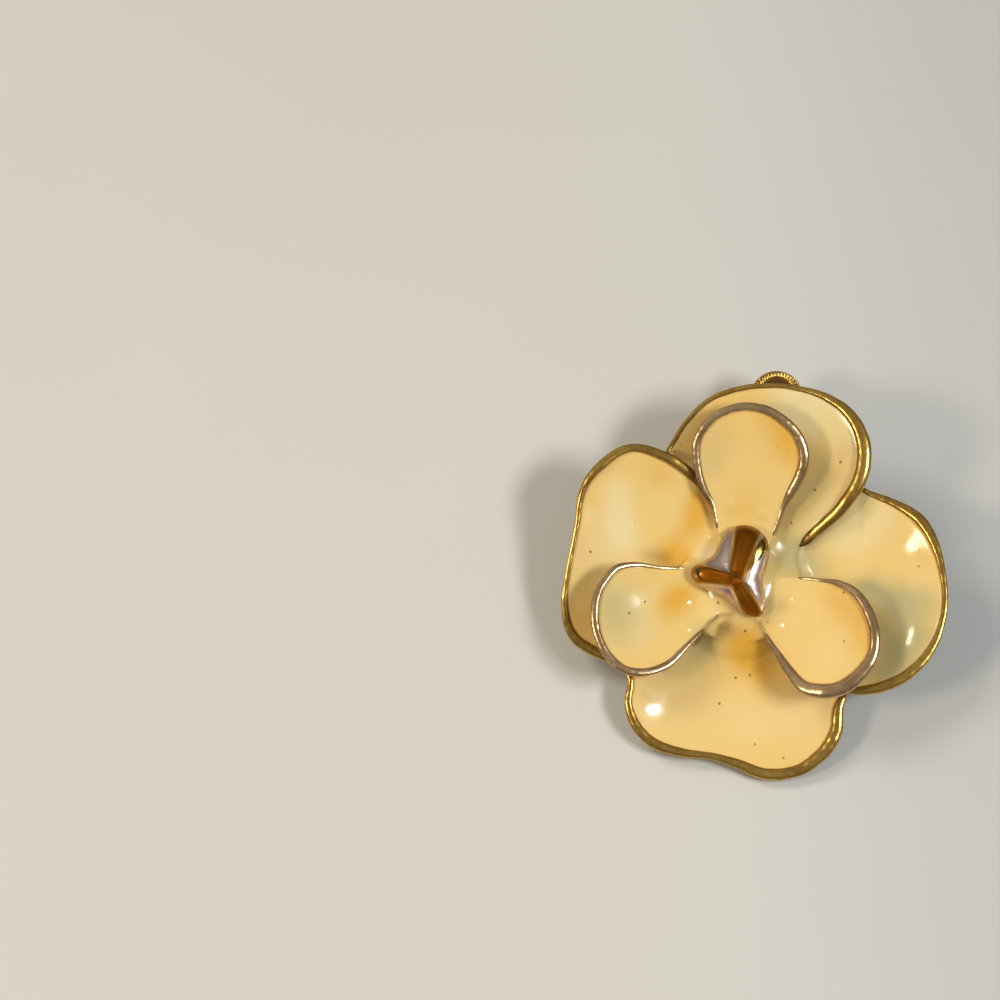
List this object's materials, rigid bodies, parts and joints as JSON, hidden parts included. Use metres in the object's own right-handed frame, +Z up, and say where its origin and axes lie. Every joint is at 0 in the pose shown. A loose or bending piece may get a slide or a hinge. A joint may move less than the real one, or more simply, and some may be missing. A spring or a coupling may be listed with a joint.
{
  "type": "clip-on flower earring",
  "caption": "Enamelled metal flower earring with broad overlapping outer petals, smaller inner petals, a three-armed bud and a hinged clip back.",
  "frame": {"origin": "middle of the earring's footprint, on the surface it lies on", "axes": "+X to the right across the flower, +Y towards the top petal and the end of the clip's lever, +Z up from the surface; the flower's face leans 13.7 degrees towards -Y and 2.7 degrees towards -X"},
  "size_m": [0.0348, 0.038, 0.0138],
  "materials": {
    "gold_metal": "polished gilt, tarnished brown and green in the creases",
    "silver_metal": "worn gilt over grey metal, rose brown",
    "bud_metal": "brown gold with grey worn hollows",
    "cream_enamel": "glossy cream yellow enamel, amber where it is deep"
  },
  "bodies": {
    "flower": {"outer_petals": "gold_metal", "inner_petals": "silver_metal", "enamel_right": "cream_enamel", "enamel_top": "cream_enamel", "enamel_left": "cream_enamel", "enamel_bottom": "cream_enamel", "enamel_inner_top": "cream_enamel", "enamel_inner_left": "cream_enamel", "enamel_inner_right": "cream_enamel", "enamel_dome": "cream_enamel", "bud": "bud_metal", "clip_frame": "gold_metal", "hinge_pin": "gold_metal"},
    "lever": {"clip_lever": "gold_metal"}
  },
  "joints": [
    {"name": "clip_hinge", "type": "hinge", "parent": "flower", "child": "lever", "pos_m": [-0.00006, 0.00353, 0.00131], "axis": [-0.9812, 0.193, -0.0006], "range_deg": [0, 80], "stiffness_Nm_per_rad": 0.01}
  ]
}
